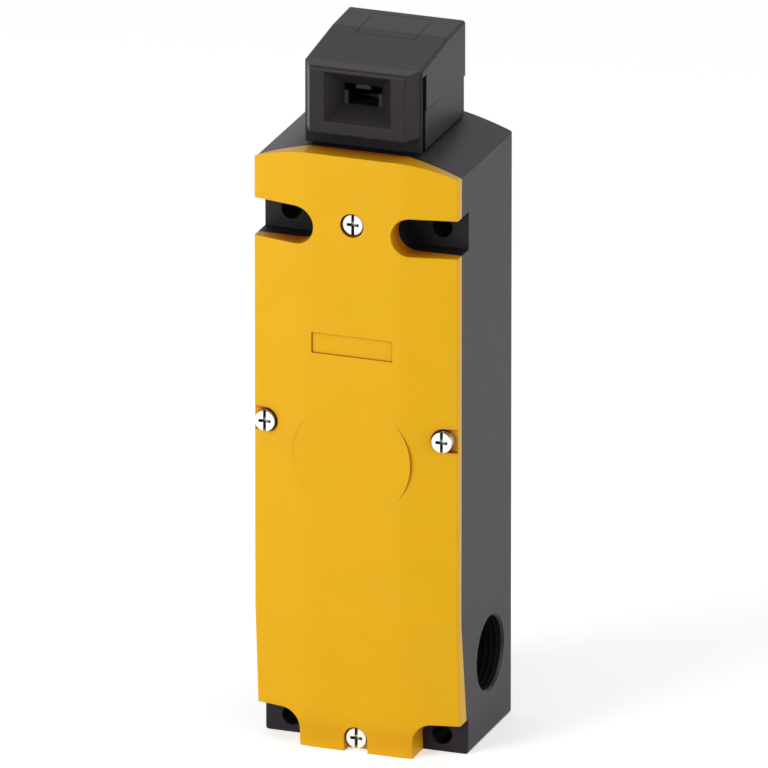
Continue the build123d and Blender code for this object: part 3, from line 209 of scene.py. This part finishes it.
def metal(name, code, roughness, along="Z", edge=0.1):
    """Plain metal with fine marks along one axis. The edge radius is in millimetres."""
    material, tree, output, place = new_material(name)
    squeezed = add(tree, "ShaderNodeMapping", Vector=place, Scale=ALONG[along])
    marks = add(tree, "ShaderNodeTexNoise", Vector=squeezed.outputs[0], Scale=per_mm(MARK_WIDTH),
                Detail=2.0)
    rough = add(tree, "ShaderNodeMapRange", Value=marks.outputs["Fac"],
                _3=roughness - MARK_SPREAD, _4=roughness + MARK_SPREAD)
    soft = add(tree, "ShaderNodeBevel", {"samples": 4}, Radius=edge * MM)
    bump = add(tree, "ShaderNodeBump", Strength=0.5, Distance=MARK_DEPTH * MM,
               Height=marks.outputs["Fac"], Normal=soft.outputs[0])
    # Painted shade: in slots and hollows the colour runs to near black and the metal turns non-metallic.
    painted_shading = painted_shade_mask(tree, place, SLOT_REACH)
    body = add(tree, "ShaderNodeBsdfPrincipled", Base_Color=between(tree, painted_shading, "050505", code),
               Metallic=painted_shading, Roughness=rough.outputs[0], Normal=bump.outputs[0])
    tree.links.new(body.outputs[0], output.inputs["Surface"])
    return material


# Zinc plate on turned screws: the brightest metal here, with marks across the head.
bright_steel = metal("Zinc plated steel", "e6e6e2", 0.3, along="Y")

# Hardened and ground along the axis: clear highlights, a little darker than zinc.
ground_steel = metal("Ground hardened steel", "c4c4c6", 0.22)

# Blackened steel of the cam: it shows in the mouth only as a dark glint.
black_steel = metal("Black oxide steel", "26262a", 0.4, along="X")

# Pressed sheet with a thin plating: greyer and flatter than the screws.
mild_steel = metal("Plated steel pressing", "a9a9a7", 0.38)

# Drawn stainless wire: smooth, with marks along the wire.
spring_steel = metal("Drawn stainless spring wire", "b8b8b8", 0.25)

# Sintered bronze is porous and holds oil, so its highlight is broad.
bronze = metal("Sintered bronze", "a6793c", 0.45)

# Contact parts: stamped brass terminals, and bridges whose silver looks almost white.
brass = metal("Stamped brass", "cda54a", 0.3, along="Y")
silver = metal("Silver plated copper", "e9e6dd", 0.2, along="Y")
print("with metals:", len(bpy.data.materials))

# %% [markdown]
# The coil is enamelled wire wound in close turns around an upright bobbin. Thousands of wires
# would be wasted on a piece inside a closed case, so a wave along Z gives the turns painted shade
# where they meet and a painted highlight on each crest, and bumps them. The wire is about 0.2 mm
# thick and is drawn at 0.5 mm, which is the finest that shows. The wave repeats 10 times in each
# pi units of its scaled coordinate.

# %% Winding
WIRE_DRAWN = 0.5
WAVES_PER_UNIT = 10 / pi
GAP_PAINTED_SHADE, CREST_PAINTED_HIGHLIGHT = 0.45, 1.1


def wound_wire(name, code, roughness):
    """Close turns of round wire, with painted shade where two of them meet and a painted highlight on each
    crest.
    """
    material, tree, output, place = new_material(name)
    turns = add(tree, "ShaderNodeTexWave", {"bands_direction": "Z"}, Vector=place,
                Scale=per_mm(WIRE_DRAWN) / WAVES_PER_UNIT)
    painted_shading = add(tree, "ShaderNodeMapRange", Value=turns.outputs["Fac"], _3=GAP_PAINTED_SHADE, _4=CREST_PAINTED_HIGHLIGHT)
    tone = add(tree, "ShaderNodeHueSaturation", Color=linear(code), Value=painted_shading.outputs[0])
    bump = add(tree, "ShaderNodeBump", Strength=0.6, Distance=WIRE_DRAWN / 4 * MM,
               Height=turns.outputs["Fac"])
    body = add(tree, "ShaderNodeBsdfPrincipled", Base_Color=tone.outputs[0], Metallic=1.0,
               Roughness=roughness, Normal=bump.outputs[0])
    tree.links.new(body.outputs[0], output.inputs["Surface"])
    return material


winding = wound_wire("Enamelled copper wire, wound", "c4713a", 0.3)
print("turns drawn in each centimetre:", round(10 / WIRE_DRAWN))

# %% [markdown]
# Each piece of the switch has one material all through, so a plain list says what wears what. The
# two contact blocks are the same part, bought twice, and a loop dresses both.

# %% Who wears what
WEAR = {
    "housing": black_case,
    "head_body": black_head,
    "head_front_guide": black_head,
    "head_top_plug": black_head,
    "head_base": black_head,
    "cover": yellow_cover,
    "cover_gasket": seal_rubber,
    "neck_seal": seal_rubber,
    "cover_screws": bright_steel,
    "head_screws": bright_steel,
    "head_lock_slider": mild_steel,
    "cam_wheel": black_steel,
    "cam_axle": ground_steel,
    "plunger": ground_steel,
    "plunger_arm": grey_plastic,
    "plunger_spring": spring_steel,
    "guide_bush": bronze,
    "lock_lever": ground_steel,
    "lever_bracket": mild_steel,
    "lever_pin": ground_steel,
    "coil_yoke": mild_steel,
    "coil_bobbin": white_nylon,
    "coil_winding": winding,
    "coil_stop": mild_steel,
    "armature": ground_steel,
    "armature_arm": grey_plastic,
    "armature_spring": spring_steel,
    "coil_terminal_block": green_plastic,
    "coil_terminal_screws": bright_steel,
}
for block in ("tongue_block", "lock_block"):
    WEAR[block + "_body"] = grey_plastic
    WEAR[block + "_contacts"] = brass
    WEAR[block + "_terminal_screws"] = bright_steel
    WEAR[block + "_bridges"] = silver
    WEAR[block + "_carrier"] = white_nylon
    WEAR[block + "_spring"] = spring_steel
for name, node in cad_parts.items():
    node.data.materials.clear()
    node.data.materials.append(WEAR[name])
print("dressed:", len(WEAR), "pieces")

# %% [markdown]
# Each cable entry has an M20 thread of 1.5 mm pitch. In the solids it is a plain bore, because a
# thread cut in solids is heavy and helps no fit. Here the ridge is swept: a spiral curve carries a
# pointed profile, so the shape follows the two numbers that define a thread, radius and pitch. The
# same ridge serves both sides and the bottom, so a node tree builds it once and places it thrice.

# %% Thread tree
RIDGE_BASE, RIDGE_TIP = 0.3, 0.2
STEPS_PER_TURN = 64
SIZE_INPUTS = ("Radius", "Pitch", "Depth", "Turns")


def thread_tree(places):
    """Geometry nodes that sweep one ridge and set it at each place with its turn."""
    group = bpy.data.node_groups.new("entry_threads", "GeometryNodeTree")
    group.interface.new_socket("Geometry", in_out="OUTPUT", socket_type="NodeSocketGeometry")
    for label in SIZE_INPUTS:
        group.interface.new_socket(label, in_out="INPUT", socket_type="NodeSocketFloat")
    group.interface.new_socket("Material", in_out="INPUT", socket_type="NodeSocketMaterial")
    given = group.nodes.new("NodeGroupInput").outputs
    times = {"operation": "MULTIPLY"}
    height = add(group, "ShaderNodeMath", times, _0=given["Pitch"], _1=given["Turns"])
    spiral = add(group, "GeometryNodeCurveSpiral", Resolution=STEPS_PER_TURN, Rotations=given["Turns"],
                 Start_Radius=given["Radius"], End_Radius=given["Radius"], Height=height.outputs[0])
    half = add(group, "ShaderNodeMath", times, _0=given["Pitch"], _1=RIDGE_BASE)
    corners = []
    for inward, up in ((0.0, 1.0), (0.0, -1.0), (1.0, -RIDGE_TIP), (1.0, RIDGE_TIP)):
        x = add(group, "ShaderNodeMath", times, _0=given["Depth"], _1=inward)
        y = add(group, "ShaderNodeMath", times, _0=half.outputs[0], _1=up)
        corners.append(add(group, "ShaderNodeCombineXYZ", X=x.outputs[0], Y=y.outputs[0]).outputs[0])
    ridge = add(group, "GeometryNodeCurvePrimitiveQuadrilateral", {"mode": "POINTS"},
                Point_1=corners[0], Point_2=corners[1], Point_3=corners[2], Point_4=corners[3])
    swept = add(group, "GeometryNodeCurveToMesh", Curve=spiral.outputs[0],
                Profile_Curve=ridge.outputs[0], Fill_Caps=True)
    joined = add(group, "GeometryNodeJoinGeometry")
    for at, turn in places:
        copy = add(group, "GeometryNodeTransform", Geometry=swept.outputs[0], Translation=at, Rotation=turn)
        group.links.new(copy.outputs[0], joined.inputs[0])
    whole = add(group, "GeometryNodeRealizeInstances", Geometry=joined.outputs[0])
    worn = add(group, "GeometryNodeSetMaterial", Geometry=whole.outputs[0], Material=given["Material"])
    end = group.nodes.new("NodeGroupOutput")
    group.links.new(worn.outputs[0], end.inputs[0])
    return group


# %% [markdown]
# A live modifier would be evaluated again whenever the piece moves. The tree is run once on an
# empty holder instead, and its result is kept as a plain mesh, which rides with the case.

# %% Threads in the entries
ENTRY_RADIUS = 9.5 * MM
ENTRY_Y = 5.55 * MM
ENTRY_Z = 21.5 * MM
SIDE_THREAD_END = 9.0 * MM
BOTTOM_THREAD_END = 10.0 * MM
SUNK = 0.02 * MM
case_low, case_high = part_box("housing")


def grown(name, group, values, body):
    """Runs a geometry node group once, keeps the result as a plain mesh and lets it ride."""
    holder = bpy.data.objects.new(name + "_holder", bpy.data.meshes.new(name + "_holder"))
    bpy.context.scene.collection.objects.link(holder)
    modifier = holder.modifiers.new("grow", "NODES")
    modifier.node_group = group
    for item in group.interface.items_tree:
        if item.in_out == "INPUT" and item.name in values:
            modifier[item.identifier] = values[item.name]
    holder.update_tag()
    bpy.context.view_layer.update()
    graph = bpy.context.evaluated_depsgraph_get()
    mesh = bpy.data.meshes.new_from_object(holder.evaluated_get(graph), depsgraph=graph)
    mesh.name = name
    bpy.data.objects.remove(holder)
    piece = bpy.data.objects.new(name, mesh)
    bpy.context.scene.collection.objects.link(piece)
    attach(piece, body)
    return piece


right_entry = ((case_high[0] - SIDE_THREAD_END, ENTRY_Y, ENTRY_Z), (0, pi / 2, 0))
left_entry = ((case_low[0] + SIDE_THREAD_END, ENTRY_Y, ENTRY_Z), (0, -pi / 2, 0))
bottom_entry = ((0, ENTRY_Y, case_low[2] + BOTTOM_THREAD_END), (pi, 0, 0))
entry_threads = grown("entry_threads", thread_tree((right_entry, left_entry, bottom_entry)), {
    "Radius": ENTRY_RADIUS + SUNK,
    "Pitch": 1.5 * MM,
    "Depth": 0.36 * MM,
    "Turns": 5.3,
    "Material": thread_nylon_painted_shade,
}, "housing")
shell = bmesh.new()
shell.from_mesh(entry_threads.data)
print("thread faces:", len(shell.faces), "volume in mm3:", round(shell.calc_volume(signed=True) / MM ** 3, 1))
shell.free()

# %% [markdown]
# The product stands on white paper, with white all around it that mirrors in the plastic. More
# lamp light would turn the paper white too, but it would bleach the yellow. So the paper glows
# only for rays that look at it or mirror it, and it still takes the soft shadow.

# %% Paper and surround
PAPER_GLOW = 0.5
PAPER_HALF = 3
SKY_LIGHT = 0.3


def looked_at(tree):
    """One for rays that look at a thing, mirror it or see it through glass, else zero."""
    ray = tree.nodes.new("ShaderNodeLightPath").outputs
    seen = add(tree, "ShaderNodeMath", {"operation": "MAXIMUM"},
               _0=ray["Is Camera Ray"], _1=ray["Is Glossy Ray"])
    return add(tree, "ShaderNodeMath", {"operation": "MAXIMUM"},
               _0=seen.outputs[0], _1=ray["Is Transmission Ray"]).outputs[0]


corners = [(x * PAPER_HALF, y * PAPER_HALF, 0) for x, y in ((-1, -1), (1, -1), (1, 1), (-1, 1))]
floor_mesh = bpy.data.meshes.new("floor")
floor_mesh.from_pydata(corners, [], [(0, 1, 2, 3)])
floor = bpy.data.objects.new("floor", floor_mesh)
bpy.context.scene.collection.objects.link(floor)
floor_material, tree, output, place = new_material("White studio paper")
glow = add(tree, "ShaderNodeMath", {"operation": "MULTIPLY"}, _0=looked_at(tree), _1=PAPER_GLOW)
paper = add(tree, "ShaderNodeBsdfPrincipled", Base_Color=linear("f6f6f6"), Roughness=0.9,
            Emission_Color=(1, 1, 1, 1), Emission_Strength=glow.outputs[0])
tree.links.new(paper.outputs[0], output.inputs["Surface"])
floor_mesh.materials.append(floor_material)

world = bpy.data.worlds.new("white surround")
bpy.context.scene.world = world
world.use_nodes = True
sky = world.node_tree
sky.nodes.clear()
strength = add(sky, "ShaderNodeMapRange", Value=looked_at(sky), _3=SKY_LIGHT, _4=1.0)
white = add(sky, "ShaderNodeBackground", Color=(1, 1, 1, 1), Strength=strength.outputs[0])
end = sky.nodes.new("ShaderNodeOutputWorld")
sky.links.new(white.outputs[0], end.inputs["Surface"])
print("paper:", 2 * PAPER_HALF, "m wide")

# %% [markdown]
# Three softboxes light it. The large one on the left makes the cover even, the one on the right
# lifts the case's black side, and a weak one above draws the roof apart from the head.

# %% Softboxes
LIT_POINT = (0, 0, 0.09)


def softbox(name, at, side, power):
    """Square area light that faces the switch. Its side is in metres, its power in watts."""
    light = bpy.data.lights.new(name, "AREA")
    light.size = side
    light.energy = power
    lamp = bpy.data.objects.new(name, light)
    bpy.context.scene.collection.objects.link(lamp)
    lamp.location = at
    lamp.rotation_euler = (Vector(LIT_POINT) - Vector(at)).to_track_quat("-Z", "Y").to_euler()


softbox("key_left", (-0.7, -1.0, 0.5), 0.7, 11.3)
softbox("fill_right", (1.0, -0.1, 0.37), 0.6, 3.8)
softbox("top", (0, 0.1, 1.1), 0.9, 0.9)
print("softboxes:", len(bpy.data.lights))

# %% [markdown]
# The photograph's upright edges stay parallel, so the camera stands far off with a long lens, 20
# degrees to the right of the cover and 20 degrees above it. FIELD is the width in metres that the
# picture covers at the switch. Plain colour management keeps the yellow as it is written.

# %% Camera
AZIMUTH, ELEVATION = radians(20), radians(20)
LENS, SENSOR, FIELD = 1200.0, 36.0, 0.1922
TARGET = Vector((0.62, 0, 91.9)) * MM
FAR_END = 50
towards_camera = Vector((sin(AZIMUTH) * cos(ELEVATION), -cos(AZIMUTH) * cos(ELEVATION), sin(ELEVATION)))
camera_data = bpy.data.cameras.new("catalogue")
camera_data.lens = LENS
camera_data.sensor_width = SENSOR
camera_data.clip_end = FAR_END
camera = bpy.data.objects.new("catalogue", camera_data)
scene = bpy.context.scene
scene.collection.objects.link(camera)
camera.location = TARGET + towards_camera * FIELD * LENS / SENSOR
camera.rotation_euler = towards_camera.to_track_quat("Z", "Y").to_euler()
scene.camera = camera
scene.view_settings.view_transform = "Standard"
print("camera distance in m:", round((camera.location - TARGET).length, 2))
